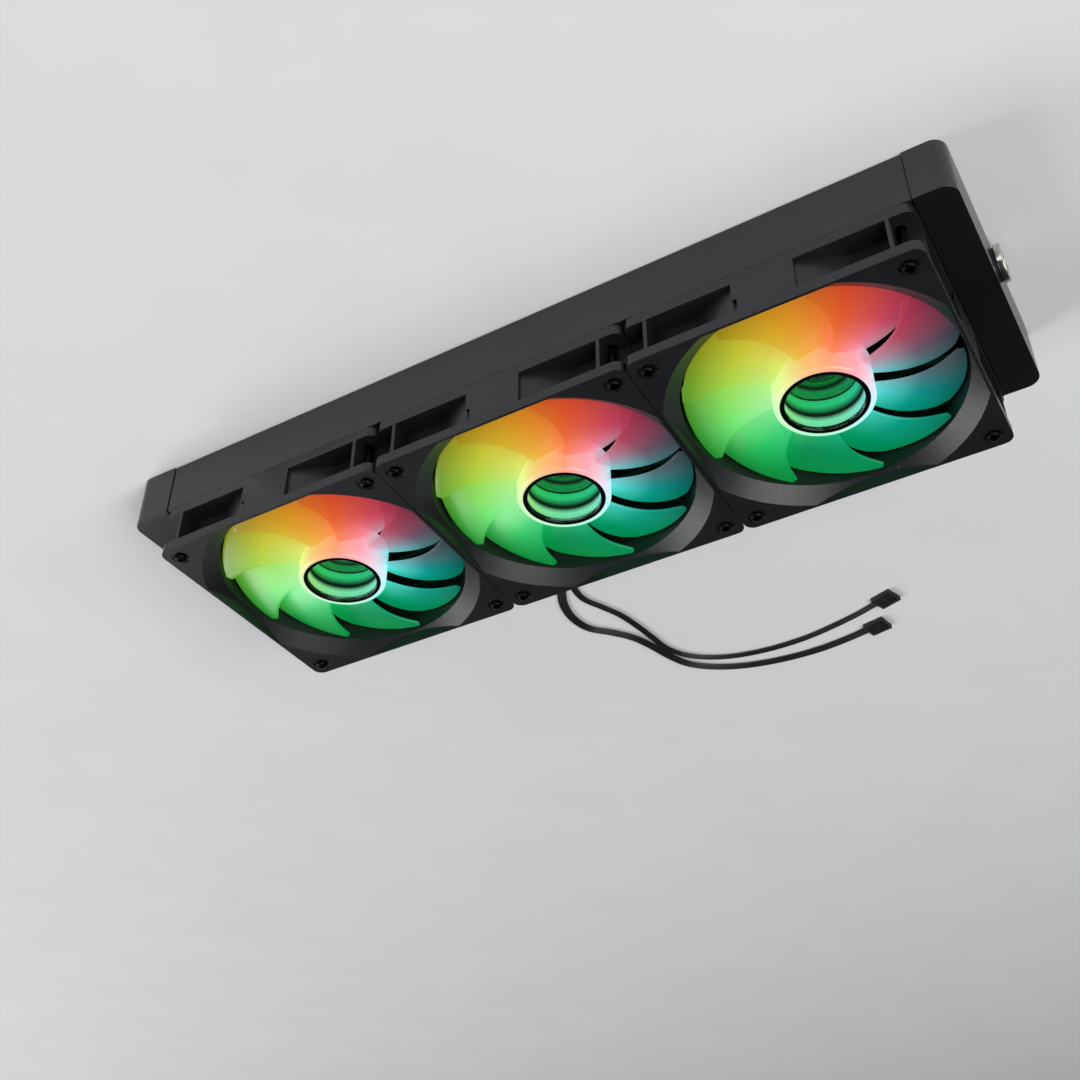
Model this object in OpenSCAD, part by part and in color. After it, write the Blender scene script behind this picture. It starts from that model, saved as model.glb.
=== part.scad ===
// Liquid cooling radiator with three illuminated 120 mm fans.
// The radiator lies on its case side: Z = 0 is the face that bolts to a case, the fans stand on top
// and their intake faces look along +Z. X runs along the row of fans, with the ports at the +X end.
// The origin is the centre of the middle group of case screw holes. Units are millimetres.

/* [Radiator] */
// Width of the radiator across the row
rad_w = 120; // [120:0.5:126]
// Height of the radiator housing
rad_h = 27; // [26:0.5:40]
// Thickness of the side channels' sheet
channel_t = 1.2; // [0.8:0.1:2]
// Margin of the side channels' flanges inside the line of screws
flange_margin = 5.5; // [4:0.5:9]
// Length of the end tank that carries the ports
port_tank_len = 22; // [18:0.5:36]
// Length of the end tank that turns the flow round
return_tank_len = 16; // [12:0.5:30]
// Wall of both end tanks
tank_wall = 1.4; // [1:0.1:2.5]
// Radius of the end tanks' outer corners
tank_corner_r = 6; // [3:0.5:9]

/* [Core] */
// Number of flat coolant tubes
tube_rows = 12; // [8:1:14]
// Outside thickness of a flat tube
tube_thick = 2; // [1.6:0.1:3]
// Depth of the tubes and fins along the air flow
tube_depth = 15; // [12:0.5:16]
// Wall of a flat tube
tube_wall = 0.35; // [0.25:0.05:0.5]
// Thickness of a header plate
header_t = 1.6; // [1:0.1:3]
// Distance from one fin fold to the next
fin_pitch = 4; // [2.4:0.2:8]
// Thickness of the fin strip
fin_t = 0.2; // [0.15:0.05:0.4]

/* [Ports] */
// Distance between the two ports
port_span = 46; // [30:1:60]
// Radius of a port's bore, the core of a G1/4 thread
port_r = 5.72; // [4:0.02:7]
// Outside diameter of a port's collar
collar_d = 19; // [16:0.5:22]
// How far a collar stands out of the tank
collar_len = 5; // [3:0.5:10]
// Radius of the fill plug's thread
plug_r = 4.5; // [3:0.1:6]

/* [Fan frames] */
// Distance from one fan's centre to the next
fan_pitch = 120; // [120:0.5:124]
// Width and length of a fan frame
fan_w = 119.6; // [118:0.2:119.8]
// Depth of a fan frame
fan_d = 25; // [24:0.5:30]
// Distance between a fan's screw holes
screw_span = 105; // [104.6:0.1:105.4]
// Thickness of the frame's two flanges
frame_flange_t = 4.8; // [3:0.1:6]
// Radius of the frame's outer corners
frame_corner_r = 4.5; // [2:0.5:6]
// Radius of the round duct that the blades turn in
duct_r = 57.6; // [56.8:0.1:57.8]
// Radius that the intake flare opens to in the frame's corners
flare_r = 64.5; // [60:0.5:66]
// Rim left round the intake along the frame's straight sides
rim_t = 1.2; // [0.8:0.1:2]
// Wall of the duct
duct_wall = 1.8; // [1.5:0.1:2]
// Number of arms that hold the motor
arm_count = 4; // [3:1:5]
// Direction of the arm that carries the leads, from +X
arm_angle = 65; // [60:1:70]

/* [Fan rotors] */
// Number of blades
blade_count = 9; // [7:1:11]
// Clearance between the blade tips and the duct
tip_gap = 1.2; // [0.8:0.1:2.5]
// Radius of the glowing hub
hub_r = 20.5; // [17:0.1:25]
// Width of the glowing rim outside the black ring
hub_rim = 2.4; // [2:0.1:4]
// Width of the black ring
bezel_w = 2.1; // [1.5:0.1:3]
// Depth of the lit tunnel between the two mirrors
tunnel_h = 6.4; // [4:0.2:7]
// Radius of the rotor shaft
shaft_r = 1.5; // [1:0.05:1.8]
// Radial clearance of the shaft in its bearing
shaft_gap = 0.03; // [0.02:0.01:0.08]

/* [Fasteners] */
// Radius of the fan screws' shank
screw_r = 1.5; // [1.2:0.05:1.6]
// How far a fan screw reaches into the radiator's flange and nut
screw_reach = 5.6; // [4.6:0.1:8]
// Radius of the shallow seats round the fan screws' heads
seat_r = 4.2; // [3.4:0.1:4.4]
// Depth of the shallow seats
seat_depth = 0.6; // [0.2:0.1:0.8]
// Radius of the clearance holes in the fan frames
screw_hole_r = 2.15; // [1.8:0.05:2.3]
// Radius of the free threaded holes on the case side, the core of an M3 thread
case_hole_r = 1.25; // [1:0.01:1.4]

/* [Cables] */
// Width of the four-wire fan lead
pwm_w = 5; // [4:0.1:6]
// Width of the three-wire lighting lead
led_w = 3.8; // [3:0.1:5]
// Thickness of both flat leads
lead_t = 1.3; // [1:0.1:1.8]

/* [Hidden] */
fan_count = 3;
eps = 0.01;
$fn = 96;

// Radiator layout, along X
core_half = fan_pitch * fan_count / 2;
port_end = core_half + port_tank_len;
return_end = -core_half - return_tank_len;
header_in = core_half - header_t;

// Radiator layout, across Y: tubes and fin rows fill the space between the channels
core_w = rad_w - 2 * channel_t;
fin_rows_count = tube_rows + 1;
fin_gap = (core_w - tube_rows * tube_thick) / fin_rows_count;
row_pitch = fin_gap + tube_thick;
tube_z = (rad_h - tube_depth) / 2;

// Weld nuts under both flanges
nut_r = 2.9;
nut_h = 3.4;
nut_gap = 0.02;

// Fill plug
plug_head_r = 8;
plug_head_h = 2.6;
seal_t = 1.2;
plug_len = 6;
hex_key = 5;

// Fan layout
fan_z = rad_h;
fan_x = [for (i = [0 : fan_count - 1]) fan_pitch * ((fan_count - 1) / 2 - i)];
flare_h = frame_flange_t + 1;
side_pad_w = 25.5;
side_notch = [2, 2.2, 6.5];
gusset_t = 1.6;
gusset_angle = 32.2;
gusset_x = (duct_r + duct_wall / 2) * cos(gusset_angle);

// Motor, from the back face of the fan
arm_w = 5;
arm_h = 4.6;
base_r = hub_r - 1;
base_t = 2.2;
base_wall = 1.2;
base_h = 5;
board_z = 3.2;
board_t = 1.2;
board_gap = 0.1;
board_ledge = 1;
led_size = [2.2, 1.6, 1];
led_edge = 0.5;
led_count = 8;
sleeve_r = 3.1;
sleeve_wall_r = 4.5;
pad_t = 0.7;
stator_z = 6;
pole_count = 4;
pole_w = 5;
pole_gap = 1.8;
coil_t = 1;
coil_gap = 0.1;
coil_seat_gap = 0.3;
air_gap = 0.6;
magnet_t = 1.5;
yoke_wall = 1;
yoke_side_gap = 2.1;
yoke_boss_r = 3.6;
yoke_boss_h = 1.4;
hub_wall = 1.8;
hub_bottom = 5.8;
hub_web = 1.6;
hub_round = 1.6;

// Mirror stack, from the hub's front face down
hub_top = fan_d - 0.4;
bezel_t = 1;
lens_t = 0.8;
mirror_t = 0.8;
lens_z = hub_top - bezel_t - lens_t;
tunnel_z = lens_z - tunnel_h;
mirror_z = tunnel_z - mirror_t;
bezel_r = hub_r - hub_rim;
lens_r = bezel_r - 0.2;
tunnel_wall = 2.5;

// Motor sizes that follow from the hub
yoke_top = mirror_z - hub_web;
yoke_under = yoke_top - yoke_wall;
yoke_r = hub_r - hub_wall - yoke_side_gap;
magnet_r = yoke_r - yoke_wall;
magnet_in_r = magnet_r - magnet_t;
magnet_z = stator_z + 0.2;
magnet_top = yoke_under - 1;
stator_r = magnet_in_r - air_gap;
stator_h = magnet_top - coil_t - stator_z;

// The core's back ring and its pole faces share the room between the sleeve's wall and the magnet
stator_room = stator_r - sleeve_wall_r;
core_back = stator_room * 2.2 / 9;
pole_foot = stator_room * 2.4 / 9;

sleeve_top = yoke_under - 0.8;

// Blades: a grid of points over the span and the chord
blade_root_r = hub_r - 0.4;
blade_tip_r = duct_r - tip_gap;
blade_t = 1.2;
blade_span_steps = 7;
blade_chord_steps = 5;
blade_arc = 48;
blade_sweep = 20;
blade_top = [fan_d - 8.5, fan_d - 6];
blade_bottom = [7.6, 8.6];
blade_camber = 0.16;

// Fan screws
screw_len = fan_d - seat_depth + screw_reach;
head_r = 2.9;
head_h = 2.2;
cross_w = 0.9;
cross_l = 3.4;
cross_d = 1.3;

// Leads of the middle fan. They leave the grommet in its side and lie behind the radiator.
grommet = [13, 4.4, 3];
grommet_z = 1.2;
grommet_out = 1.2;
exit_x = fan_w / 2 / tan(arm_angle);
pwm_route = [
  [31, 61, 29.7], [31, 66, 29.4], [34, 75, 27], [42, 86, 20], [52, 97, 11], [62, 108, 4], [70, 120, 1],
  [76, 133, 1], [78, 147, 1], [75, 160, 1], [66, 170, 1], [58, 181, 1], [53, 194, 1], [49, 208, 1],
  [43, 221, 1], [32, 231, 1], [18, 238, 1], [3, 242, 1], [-13, 244, 1], [-29, 244, 1], [-44, 242, 1],
  [-58, 239, 1]];
led_route = [
  [25, 61, 29.7], [25, 66, 29.4], [28, 75, 27], [36, 86, 20], [46, 97, 11], [56, 108, 4], [63, 120, 1],
  [64, 133, 1], [59, 145, 1], [54, 157, 1], [51, 171, 1], [49, 185, 1], [47, 199, 1], [41, 211, 1],
  [31, 220, 1], [18, 226, 1], [4, 229, 1], [-11, 230, 1], [-27, 229, 1], [-42, 226, 1], [-57, 222, 1],
  [-71, 217, 1]];
plug_shell = [12, 3.2];
pwm_plug_w = 10.4;
led_plug_w = 10.4;

FAN_NODES = ["frame", "impeller", "bezel", "mirror_lens", "light_ring", "back_mirror", "rotor_yoke",
  "magnet", "shaft", "bearing", "stator", "coils", "circuit_board", "cable_grommet"];

// ---- Shared shapes ----

// Points of a quarter circle about [x, y], from angle a on
function arc(x, y, r, a, steps = 6) =
  [for (i = [0 : steps]) [x + r * cos(a + 90 * i / steps), y + r * sin(a + 90 * i / steps)]];

// Outline of a rectangle with round corners, centred
function round_rect(w, l, r) = concat(
  arc(w / 2 - r, l / 2 - r, r, 0), arc(-w / 2 + r, l / 2 - r, r, 90),
  arc(-w / 2 + r, -l / 2 + r, r, 180), arc(w / 2 - r, -l / 2 + r, r, 270));

// A box given by its lowest and highest corners
module span_box(low, high) {
  translate(low) cube(high - low);
}

// A ring about Z
module ring(outer, inner, z, h) {
  translate([0, 0, z]) difference() {
    cylinder(r = outer, h = h);
    translate([0, 0, -eps]) cylinder(r = inner, h = h + 2 * eps);
  }
}

// Children at the four screw places of every fan
module at_screws() {
  for (x = fan_x, sx = [-1, 1], sy = [-1, 1])
    translate([x + sx * screw_span / 2, sy * screw_span / 2, 0]) children();
}

// ---- Radiator ----

// An end tank: a deep-drawn cap open towards the core, its outer end towards +X
module tank(length) {
  outline = concat([[0, -rad_w / 2]],
    arc(length - tank_corner_r, -rad_w / 2 + tank_corner_r, tank_corner_r, 270),
    arc(length - tank_corner_r, rad_w / 2 - tank_corner_r, tank_corner_r, 0),
    [[0, rad_w / 2]]);
  inner_r = tank_corner_r - tank_wall;
  inside = concat([[-1, -rad_w / 2 + tank_wall]],
    arc(length - tank_wall - inner_r, -rad_w / 2 + tank_wall + inner_r, inner_r, 270),
    arc(length - tank_wall - inner_r, rad_w / 2 - tank_wall - inner_r, inner_r, 0),
    [[-1, rad_w / 2 - tank_wall]]);
  difference() {
    linear_extrude(rad_h) polygon(outline);
    translate([0, 0, tank_wall]) linear_extrude(rad_h - 2 * tank_wall) polygon(inside);
  }
}

// Children at the two ports, with Z out of the tank
module at_ports() {
  for (y = [-port_span / 2, port_span / 2])
    translate([port_end, y, rad_h / 2]) rotate([0, 90, 0]) children();
}

module port_tank() {
  color("#26282b") difference() {
    translate([core_half, 0, 0]) tank(port_tank_len);
    at_ports() translate([0, 0, -tank_wall - 1]) cylinder(r = collar_d / 2 - 2, h = tank_wall + 2);
  }
}

module return_tank() {
  color("#26282b") difference() {
    translate([-core_half, 0, 0]) rotate([0, 0, 180]) tank(return_tank_len);
    translate([return_end - 1, 0, rad_h / 2]) rotate([0, 90, 0]) cylinder(r = plug_r, h = tank_wall + 2);
  }
}

// Brass collars soldered into the port tank, bored for a G1/4 thread
module port_collars() {
  foot_r = collar_d / 2 - 2;
  chamfer = 0.8;
  profile = [[port_r, -tank_wall - 2], [foot_r, -tank_wall - 2], [foot_r, 0], [collar_d / 2, 0],
    [collar_d / 2, collar_len - chamfer], [collar_d / 2 - chamfer, collar_len], [port_r, collar_len]];
  color("#c2a05a") at_ports() rotate_extrude() polygon(profile);
}

// Plate across the middle of the port tank that keeps the incoming and the returning coolant apart
module tank_baffle() {
  color("#b58d4a") span_box([core_half, -0.6, tank_wall], [port_end - tank_wall, 0.6, rad_h - tank_wall]);
}

module header_plates() {
  color("#8c7040") for (x = [header_in, -core_half]) difference() {
    span_box([x, -core_w / 2, channel_t], [x + header_t, core_w / 2, rad_h - channel_t]);
    for (i = [0 : tube_rows - 1])
      translate([x - 1, tube_y(i), tube_z]) cube([header_t + 2, tube_thick, tube_depth]);
  }
}

// Lower Y of a coolant tube
function tube_y(i) = -core_w / 2 + fin_gap + i * row_pitch;

// Flat tubes with a web down their middle
module coolant_tubes() {
  end = core_half - eps;
  color("#9a7b45") for (i = [0 : tube_rows - 1]) difference() {
    span_box([-end, tube_y(i), tube_z], [end, tube_y(i) + tube_thick, tube_z + tube_depth]);
    for (k = [0, 1])
      translate([-end - 1, tube_y(i) + tube_wall, tube_z + tube_wall + k * (tube_depth - tube_wall) / 2])
        cube([2 * end + 2, tube_thick - 2 * tube_wall, (tube_depth - 3 * tube_wall) / 2]);
  }
}

// Folded fin strips between the tubes
module fin_rows() {
  length = 2 * header_in;
  folds = floor(length / fin_pitch);
  step = length / folds / 2;
  tall = fin_gap - fin_t;
  zigzag = [for (i = [0 : 2 * folds]) [-header_in + i * step, i % 2 * tall]];
  strip = concat([for (p = zigzag) p + [0, fin_t]], [for (i = [2 * folds : -1 : 0]) zigzag[i]]);
  color("#3a3c3e") for (i = [0 : fin_rows_count - 1])
    translate([0, -core_w / 2 + i * row_pitch, tube_z])
      linear_extrude(tube_depth) polygon(strip);
}

// One folded side channel, for the side at +Y
module side_channel() {
  inner = screw_span / 2 - flange_margin;
  difference() {
    union() {
      span_box([-core_half, rad_w / 2 - channel_t, 0], [core_half, rad_w / 2, rad_h]);
      span_box([-core_half, inner, 0], [core_half, rad_w / 2, channel_t]);
      span_box([-core_half, inner, rad_h - channel_t], [core_half, rad_w / 2, rad_h]);
    }
    for (x = fan_x, s = [-1, 1]) translate([x + s * screw_span / 2, screw_span / 2, 0]) {
      translate([0, 0, -1]) cylinder(r = case_hole_r, h = channel_t + 2);
      translate([0, 0, rad_h - channel_t - 1]) cylinder(r = screw_r + nut_gap, h = channel_t + 2);
    }
  }
}

module side_channel_front() {
  color("#26282b") rotate([0, 0, 180]) side_channel();
}

module side_channel_back() {
  color("#26282b") side_channel();
}

// Nuts welded inside the flanges: the case side is free, the fan side holds the fan screws
module weld_nuts() {
  color("#8f9499") at_screws() {
    ring(nut_r, case_hole_r, channel_t, nut_h);
    ring(nut_r, screw_r + nut_gap, rad_h - channel_t - nut_h, nut_h);
  }
}

module at_fill_hole() {
  translate([return_end, 0, rad_h / 2]) rotate([0, -90, 0]) children();
}

// Fill plug with a hexagon socket
module fill_plug() {
  color("#b9bcc0") at_fill_hole() difference() {
    union() {
      translate([0, 0, seal_t]) cylinder(r = plug_head_r, h = plug_head_h);
      translate([0, 0, seal_t - plug_len]) cylinder(r = plug_r, h = plug_len + eps);
    }
    translate([0, 0, seal_t + plug_head_h - 1.8]) cylinder(d = hex_key / cos(30), h = 3, $fn = 6);
  }
}

module fill_plug_seal() {
  color("#111111") at_fill_hole() ring(plug_head_r - 1, plug_r, 0, seal_t);
}

// ---- Fans, each drawn about its own axis with its back face at Z = 0 ----

module frame_flange() {
  linear_extrude(frame_flange_t) polygon(round_rect(fan_w, fan_w, frame_corner_r));
}

// Flat pads along the middle of each side, flush with the flanges, and a thin gusset at each screw
module frame_sides() {
  for (a = [0 : 90 : 270]) rotate([0, 0, a]) {
    span_box([-side_pad_w / 2, pad_in(), eps], [side_pad_w / 2, fan_w / 2, fan_d - eps]);
    for (s = [-1, 1]) translate([s * gusset_x - gusset_t / 2, fan_w / 2 - gusset_len(), eps])
      cube([gusset_t, gusset_len(), fan_d - 2 * eps]);
  }
}

// Where a side pad's inner face stays clear of the air
function pad_in() = sqrt(pow(duct_r + duct_wall / 2, 2) - pow(side_pad_w / 2, 2));

// How far a gusset reaches in from the side to end inside the duct's wall
function gusset_len() = fan_w / 2 - (duct_r + duct_wall / 2) * sin(gusset_angle);

// The intake opens as a cone that the frame's straight sides cut off
module intake_flare() {
  opening = fan_w - 2 * rim_t;
  intersection() {
    translate([0, 0, fan_d - flare_h])
      cylinder(r1 = duct_r, r2 = flare_r, h = flare_h + eps);
    translate([-opening / 2, -opening / 2, 0]) cube([opening, opening, fan_d + 1]);
  }
}

module motor_mount() {
  cylinder(r = base_r, h = base_t);
  ring(base_r, base_r - base_wall, 0, base_h);
  ring(base_r, base_r - base_wall - board_ledge, 0, board_z);
  ring(sleeve_wall_r, sleeve_r, base_t - eps, sleeve_top - base_t);
  for (i = [0 : arm_count - 1]) rotate([0, 0, arm_angle + 360 / arm_count * i])
    span_box([base_r - base_wall / 2, -arm_w / 2, 0], [duct_r + duct_wall / 2, arm_w / 2, arm_h]);
}

// Pocket in the +Y side that holds the cable grommet
module grommet_pocket() {
  translate([exit_x - grommet[0] / 2, fan_w / 2 - grommet[1] + grommet_out, grommet_z])
    cube([grommet[0], grommet[1], grommet[2]]);
}

module frame() {
  color("#1b1c1e") {
    difference() {
      union() {
        frame_flange();
        translate([0, 0, fan_d - frame_flange_t]) frame_flange();
        cylinder(r = duct_r + duct_wall, h = fan_d);
        frame_sides();
      }
      translate([0, 0, -1]) cylinder(r = duct_r, h = fan_d + 2);
      intake_flare();
      for (sx = [-1, 1], sy = [-1, 1]) translate([sx * screw_span / 2, sy * screw_span / 2, 0]) {
        translate([0, 0, -1]) cylinder(r = screw_hole_r, h = fan_d + 2);
        translate([0, 0, fan_d - seat_depth]) cylinder(r = seat_r, h = 2);
      }
      for (a = [0 : 90 : 270]) rotate([0, 0, a])
        translate([-side_pad_w / 2 - eps, fan_w / 2 - side_notch[1], fan_d - frame_flange_t - side_notch[2]])
          cube([side_notch[0], side_notch[1] + 1, side_notch[2]]);
      grommet_pocket();
    }
    motor_mount();
  }
}

module cable_grommet() {
  color("#0d0d0e") grommet_pocket();
}

// ---- Rotor ----

// Share of the way from the blade's root to its tip
function span_share(i) = i / blade_span_steps;

// A point on the blade's middle surface, for shares t of the span and s of the chord
function blade_point(t, s) =
  let (
    r = blade_root_r + (blade_tip_r - blade_root_r) * t,
    turn = blade_sweep * t * t - blade_arc * (1 - s),
    low = blade_bottom[0] + (blade_bottom[1] - blade_bottom[0]) * t,
    high = blade_top[0] + (blade_top[1] - blade_top[0]) * t,
    rise = s + blade_camber * sin(180 * s) * (1 - 0.4 * t)
  )
  [r * cos(turn), r * sin(turn), low + (high - low) * rise];

// A blade is a shell of two equal grids, half its thickness above and below the middle surface
module blade() {
  n = blade_span_steps;
  m = blade_chord_steps;
  side = [for (i = [0 : n], j = [0 : m]) blade_point(span_share(i), j / m)];
  points = concat([for (p = side) p + [0, 0, blade_t / 2]], [for (p = side) p - [0, 0, blade_t / 2]]);
  low = (n + 1) * (m + 1);
  function at(i, j) = i * (m + 1) + j;
  upper = [for (i = [0 : n - 1], j = [0 : m - 1]) each [
    [at(i, j), at(i, j + 1), at(i + 1, j)], [at(i, j + 1), at(i + 1, j + 1), at(i + 1, j)]]];
  lower = [for (f = upper) [f[2] + low, f[1] + low, f[0] + low]];
  edge = concat([for (j = [0 : m]) at(0, j)], [for (i = [1 : n]) at(i, m)],
    [for (j = [m - 1 : -1 : 0]) at(n, j)], [for (i = [n - 1 : -1 : 1]) at(i, 0)]);
  count = len(edge);
  rim = [for (k = [0 : count - 1]) let (a = edge[k], b = edge[(k + 1) % count]) each [
    [a, a + low, b], [b, a + low, b + low]]];
  polyhedron(points, concat(upper, lower, rim), convexity = 6);
}

// Hub section: an outer wall with a round front edge, a web over the yoke and a recess for the mirrors
module hub() {
  inner = hub_r - hub_wall;
  profile = concat(
    [[yoke_boss_r, yoke_top], [inner, yoke_top], [inner, hub_bottom], [hub_r, hub_bottom]],
    arc(hub_r - hub_round, hub_top - hub_round, hub_round, 0),
    [[bezel_r, hub_top], [bezel_r, tunnel_z + tunnel_h], [inner, tunnel_z + tunnel_h],
      [inner, mirror_z], [yoke_boss_r, mirror_z]]);
  rotate_extrude() polygon(profile);
  ring(yoke_r + 1, yoke_r, hub_bottom + 1, yoke_top - hub_bottom - 1 + eps);
}

module impeller() {
  color("#e8f0ec") {
    hub();
    for (i = [0 : blade_count - 1]) rotate([0, 0, 360 / blade_count * i]) blade();
  }
}

module bezel() {
  color("#050505") ring(bezel_r, bezel_r - bezel_w, hub_top - bezel_t, bezel_t);
}

module mirror_lens() {
  color("#9fd8b8") translate([0, 0, lens_z]) cylinder(r = lens_r, h = lens_t);
}

module light_ring() {
  outer = hub_r - hub_wall;
  color("#d8ffe6") ring(outer, outer - tunnel_wall, tunnel_z, tunnel_h);
}

module back_mirror() {
  color("#cfd4d6") translate([0, 0, mirror_z]) cylinder(r = hub_r - hub_wall, h = mirror_t);
}

module rotor_yoke() {
  inner = yoke_r - yoke_wall;
  boss_top = yoke_top + yoke_boss_h;
  profile = [[shaft_r, yoke_under], [inner, yoke_under], [inner, stator_z], [yoke_r, stator_z], [yoke_r, yoke_top],
    [yoke_boss_r, yoke_top], [yoke_boss_r, boss_top], [shaft_r, boss_top]];
  color("#8b8f94") rotate_extrude() polygon(profile);
}

module magnet() {
  color("#3b3b3d") ring(magnet_r, magnet_in_r, magnet_z, magnet_top - magnet_z);
}

module shaft() {
  bottom = base_t + pad_t;
  color("#c9ccd0") translate([0, 0, bottom]) cylinder(r = shaft_r, h = yoke_top + yoke_boss_h - bottom);
}

// ---- Motor parts that stand still ----

// Oil-filled sleeve with the thrust pad that the shaft's end runs on
module bearing() {
  color("#a9793d") ring(sleeve_r, shaft_r + shaft_gap, base_t + pad_t + 0.3, sleeve_top - base_t - pad_t - 0.3);
  color("#e6e2d6") translate([0, 0, base_t]) cylinder(r = sleeve_r - 0.1, h = pad_t);
}

// Laminated core with a ring, necks and broad pole faces
module stator() {
  neck_out = stator_r - pole_foot;
  color("#6d7074") translate([0, 0, stator_z]) difference() {
    cylinder(r = stator_r, h = stator_h);
    translate([0, 0, -1]) cylinder(r = sleeve_wall_r, h = stator_h + 2);
    for (i = [0 : pole_count - 1]) rotate([0, 0, 360 / pole_count * (i + 0.5)]) {
      translate([neck_out - 1, -pole_gap / 2, -1]) cube([pole_foot + 2, pole_gap, stator_h + 2]);
    }
    difference() {
      translate([0, 0, -1]) cylinder(r = neck_out, h = stator_h + 2);
      translate([0, 0, -2]) cylinder(r = sleeve_wall_r + core_back, h = stator_h + 4);
      for (a = [0 : 90 : 270]) rotate([0, 0, a]) translate([0, -pole_w / 2, -2]) cube([stator_r, pole_w, stator_h + 4]);
    }
  }
}

module coils() {
  neck_in = sleeve_wall_r + core_back + coil_seat_gap;
  neck_out = sqrt(pow(stator_r - pole_foot, 2) - pow(pole_w / 2 + coil_t, 2)) - coil_gap;
  color("#b5652c") for (a = [0 : 90 : 270]) rotate([0, 0, a]) difference() {
    span_box([neck_in, -pole_w / 2 - coil_t, stator_z - coil_t],
      [neck_out, pole_w / 2 + coil_t, stator_z + stator_h + coil_t]);
    span_box([neck_in - 1, -pole_w / 2, stator_z], [neck_out + 1, pole_w / 2, stator_z + stator_h]);
  }
}

module circuit_board() {
  color("#17643a") ring(base_r - base_wall - board_gap, sleeve_wall_r + board_gap, board_z, board_t);
}

// ---- Pieces shared by the fans ----

// Pan-head screws through the fans into the fan-side nuts
module fan_screws() {
  color("#2b2c2e") at_screws() translate([0, 0, fan_z + fan_d - seat_depth]) difference() {
    union() {
      cylinder(r = head_r, h = head_h * 0.5);
      translate([0, 0, head_h * 0.5]) cylinder(r1 = head_r, r2 = head_r * 0.72, h = head_h * 0.5);
      translate([0, 0, -screw_len]) cylinder(r = screw_r, h = screw_len + eps);
    }
    for (a = [0, 90]) rotate([0, 0, a])
      translate([-cross_l / 2, -cross_w / 2, head_h - cross_d]) cube([cross_l, cross_w, cross_d + 1]);
  }
}

module led_chips() {
  color("#fffbe8") for (x = fan_x, i = [0 : led_count - 1])
    translate([x, 0, fan_z]) rotate([0, 0, 360 / led_count * i])
      translate([base_r - base_wall - board_gap - led_edge - led_size[1], -led_size[0] / 2, board_z + board_t])
        cube([led_size[1], led_size[0], led_size[2]]);
}

// ---- Leads ----

function unit(v) = v / norm(v);
function flat_side(d) = unit([-d[1], d[0], 0]);

// Direction of a route at one of its points
function heading(route, i) = unit(route[min(i + 1, len(route) - 1)] - route[max(i - 1, 0)]);

// A flat lead swept along a route, with eight corners to its section
module flat_lead(route, w) {
  section = [[-w / 2, -0.25], [-w / 2 + 0.4, -0.5], [w / 2 - 0.4, -0.5], [w / 2, -0.25],
    [w / 2, 0.25], [w / 2 - 0.4, 0.5], [-w / 2 + 0.4, 0.5], [-w / 2, 0.25]];
  n = len(section);
  rings = len(route);
  points = [for (i = [0 : rings - 1]) let (
      d = i == 0 ? [0, 1, 0] : heading(route, i),
      side = flat_side(d),
      up = cross(d, side))
    each [for (p = section) route[i] + side * p[0] + up * p[1] * lead_t]];
  walls = [for (i = [0 : rings - 2], k = [0 : n - 1]) let (
      a = i * n + k, b = i * n + (k + 1) % n) each [[a, a + n, b], [b, a + n, b + n]]];
  ends = [[for (k = [0 : n - 1]) k], [for (k = [n - 1 : -1 : 0]) (rings - 1) * n + k]];
  polyhedron(points, concat(walls, ends), convexity = 10);
}

module pwm_cable() {
  color("#101010") flat_lead(pwm_route, pwm_w);
}

module led_cable() {
  color("#101010") flat_lead(led_route, led_w);
}

// A connector housing at the end of a route, with its open sockets in the far end
module connector(route, w, poles) {
  last = len(route) - 1;
  d = heading(route, last);
  angle = atan2(d[1], d[0]);
  translate([route[last][0], route[last][1], 0]) rotate([0, 0, angle]) difference() {
    span_box([0, -w / 2, 0], [plug_shell[0], w / 2, plug_shell[1]]);
    for (k = [0 : poles - 1]) translate([plug_shell[0] - 6, (k - (poles - 1) / 2) * 2.54 - 0.6, 1])
      cube([7, 1.2, 1.2]);
    translate([2, -w / 2 - 1, plug_shell[1] - 0.6]) cube([2, w + 2, 1]);
  }
}

module pwm_connector() {
  color("#0c0c0c") connector(pwm_route, pwm_plug_w, 4);
}

module led_connector() {
  color("#0c0c0c") connector(led_route, led_plug_w, 3);
}

// ---- Nodes ----

module fan_part(name) {
  if (name == "frame") frame();
  if (name == "impeller") impeller();
  if (name == "bezel") bezel();
  if (name == "mirror_lens") mirror_lens();
  if (name == "light_ring") light_ring();
  if (name == "back_mirror") back_mirror();
  if (name == "rotor_yoke") rotor_yoke();
  if (name == "magnet") magnet();
  if (name == "shaft") shaft();
  if (name == "bearing") bearing();
  if (name == "stator") stator();
  if (name == "coils") coils();
  if (name == "circuit_board") circuit_board();
  if (name == "cable_grommet") cable_grommet();
}

port_tank();
return_tank();
header_plates();
coolant_tubes();
fin_rows();
side_channel_front();
side_channel_back();
weld_nuts();
port_collars();
tank_baffle();
fill_plug();
fill_plug_seal();
for (i = [0 : fan_count - 1], name = FAN_NODES)
  translate([fan_x[i], 0, fan_z]) fan_part(name);
fan_screws();
led_chips();
pwm_cable();
pwm_connector();
led_cable();
led_connector();
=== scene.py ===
import math

import bpy
from mathutils import Matrix, Vector


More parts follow.
